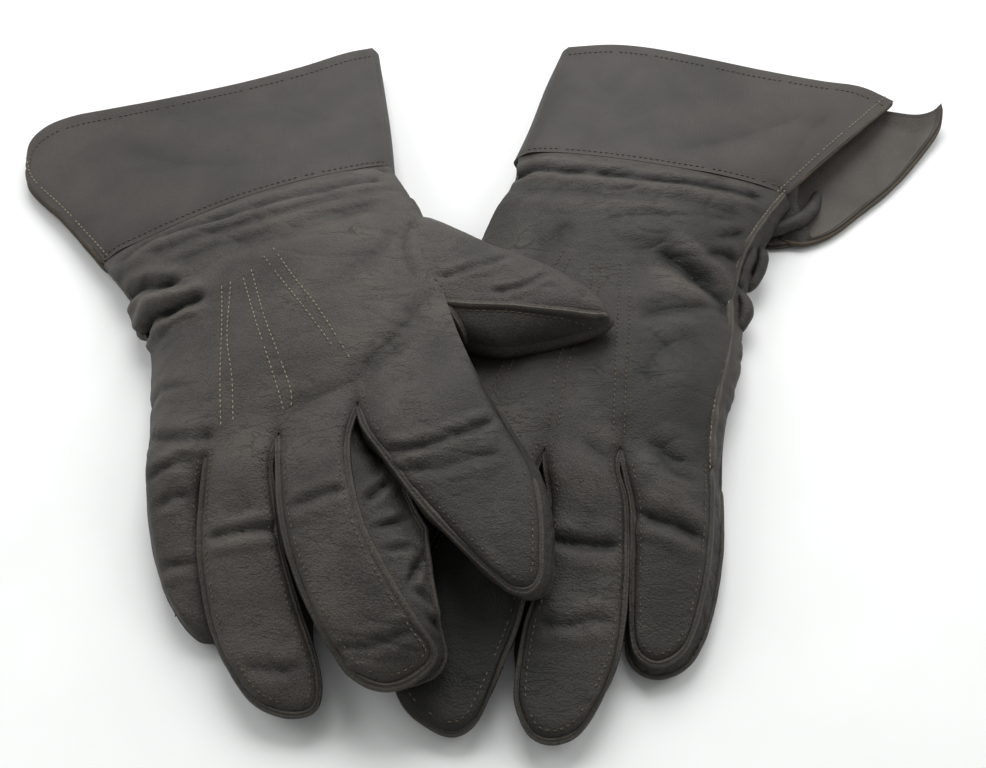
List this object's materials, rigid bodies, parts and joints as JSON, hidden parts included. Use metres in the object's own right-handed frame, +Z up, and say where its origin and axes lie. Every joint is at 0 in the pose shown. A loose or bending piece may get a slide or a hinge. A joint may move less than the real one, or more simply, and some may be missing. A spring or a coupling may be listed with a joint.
{
  "type": "pair of gauntlet riding gloves",
  "caption": "Pair of lined leather gauntlet riding gloves, palm down, the right glove lying partly on the left; fingers, thumbs and flared cuffs bend.",
  "frame": {"origin": "middle of the pair's footprint, on the surface that it lies on", "axes": "+Z up, out of the backs of the hands; fingers point towards -Y; +X towards the left glove's cuff"},
  "size_m": [0.362, 0.2992, 0.0411],
  "materials": {
    "leather": "worn soft grain",
    "palm_leather": "worn soft grain",
    "gusset_leather": "creased matt",
    "cuff_leather": "smooth matt grain",
    "facing": "suede",
    "lining": "fleece",
    "elastic": "woven",
    "thread": "waxed",
    "binding": "raw edge"
  },
  "bodies": {
    "right_hand": {"right_hand_back": "leather", "right_hand_palm": "palm_leather", "right_hand_lining": "lining", "right_quirks": "gusset_leather", "right_wrist_elastic": "elastic", "right_points_thread": "thread"},
    "right_index": {"right_index_back": "leather", "right_index_palm": "palm_leather", "right_index_fourchettes": "gusset_leather", "right_index_lining": "lining"},
    "right_middle": {"right_middle_back": "leather", "right_middle_palm": "palm_leather", "right_middle_fourchettes": "gusset_leather", "right_middle_lining": "lining"},
    "right_ring": {"right_ring_back": "leather", "right_ring_palm": "palm_leather", "right_ring_fourchettes": "gusset_leather", "right_ring_lining": "lining"},
    "right_little": {"right_little_back": "leather", "right_little_palm": "palm_leather", "right_little_fourchettes": "gusset_leather", "right_little_lining": "lining"},
    "right_thumb": {"right_thumb_upper": "leather", "right_thumb_lower": "palm_leather", "right_thumb_lining": "lining"},
    "right_gauntlet": {"right_gauntlet_back": "cuff_leather", "right_gauntlet_palm": "cuff_leather", "right_gauntlet_facings": "facing", "right_vent_binding": "binding", "right_vent_gusset": "gusset_leather"},
    "left_hand": {"left_hand_back": "leather", "left_hand_palm": "palm_leather", "left_hand_lining": "lining", "left_quirks": "gusset_leather", "left_wrist_elastic": "elastic", "left_points_thread": "thread"},
    "left_index": {"left_index_back": "leather", "left_index_palm": "palm_leather", "left_index_fourchettes": "gusset_leather", "left_index_lining": "lining"},
    "left_middle": {"left_middle_back": "leather", "left_middle_palm": "palm_leather", "left_middle_fourchettes": "gusset_leather", "left_middle_lining": "lining"},
    "left_ring": {"left_ring_back": "leather", "left_ring_palm": "palm_leather", "left_ring_fourchettes": "gusset_leather", "left_ring_lining": "lining"},
    "left_little": {"left_little_back": "leather", "left_little_palm": "palm_leather", "left_little_fourchettes": "gusset_leather", "left_little_lining": "lining"},
    "left_thumb": {"left_thumb_upper": "leather", "left_thumb_lower": "palm_leather", "left_thumb_lining": "lining"},
    "left_gauntlet": {"left_gauntlet_back": "cuff_leather", "left_gauntlet_palm": "cuff_leather", "left_gauntlet_facings": "facing", "left_vent_binding": "binding", "left_vent_gusset": "gusset_leather"}
  },
  "joints": [
    {"name": "right_glove_lift", "type": "slide", "parent": "left_hand", "child": "right_hand", "axis": [0, 0, 1], "range_m": [0, 0.15]},
    {"name": "left_index_bend", "type": "hinge", "parent": "left_hand", "child": "left_index", "pos_m": [-0.01091, -0.04606, 0.00916], "axis": [0.9781, -0.2079, 0], "range_deg": [0, 60]},
    {"name": "left_middle_bend", "type": "hinge", "parent": "left_hand", "child": "left_middle", "pos_m": [0.01534, -0.05776, 0.00916], "axis": [0.9848, -0.1736, 0], "range_deg": [0, 60]},
    {"name": "left_ring_bend", "type": "hinge", "parent": "left_hand", "child": "left_ring", "pos_m": [0.04066, -0.06407, 0.00916], "axis": [0.9925, -0.1219, 0], "range_deg": [0, 60]},
    {"name": "left_little_bend", "type": "hinge", "parent": "left_hand", "child": "left_little", "pos_m": [0.06545, -0.06716, 0.00916], "axis": [0.9976, -0.0698, 0], "range_deg": [-45, 60]},
    {"name": "left_thumb_bend", "type": "hinge", "parent": "left_hand", "child": "left_thumb", "pos_m": [-0.01963, 0.00966, 0.00796], "axis": [0.6428, -0.766, 0], "range_deg": [0, 40]},
    {"name": "left_gauntlet_fold", "type": "hinge", "parent": "left_hand", "child": "left_gauntlet", "pos_m": [0.05557, 0.06516, 0.00916], "axis": [-0.9703, 0.2419, 0], "range_deg": [-40, 40]},
    {"name": "right_index_bend", "type": "hinge", "parent": "right_hand", "child": "right_index", "pos_m": [-0.02071, -0.04887, 0.02932], "axis": [0.8668, 0.4475, 0.22], "range_deg": [-45, 0]},
    {"name": "right_middle_bend", "type": "hinge", "parent": "right_hand", "child": "right_middle", "pos_m": [-0.04709, -0.05698, 0.02296], "axis": [0.912, 0.3436, 0.2239], "range_deg": [-45, 0]},
    {"name": "right_ring_bend", "type": "hinge", "parent": "right_hand", "child": "right_ring", "pos_m": [-0.07191, -0.06259, 0.01709], "axis": [0.9434, 0.2437, 0.2249], "range_deg": [-45, 60]},
    {"name": "right_little_bend", "type": "hinge", "parent": "right_hand", "child": "right_little", "pos_m": [-0.09629, -0.06498, 0.01151], "axis": [0.9455, 0.2353, 0.2249], "range_deg": [-45, 60]},
    {"name": "right_thumb_bend", "type": "hinge", "parent": "right_hand", "child": "right_thumb", "pos_m": [-0.00533, -0.00434, 0.03166], "axis": [0.3206, 0.9472, 0], "range_deg": [-45, 0]},
    {"name": "right_gauntlet_fold", "type": "hinge", "parent": "right_hand", "child": "right_gauntlet", "pos_m": [-0.08483, 0.04886, 0.02086], "axis": [-0.9221, -0.3726, -0.1045], "range_deg": [-40, 40]}
  ]
}
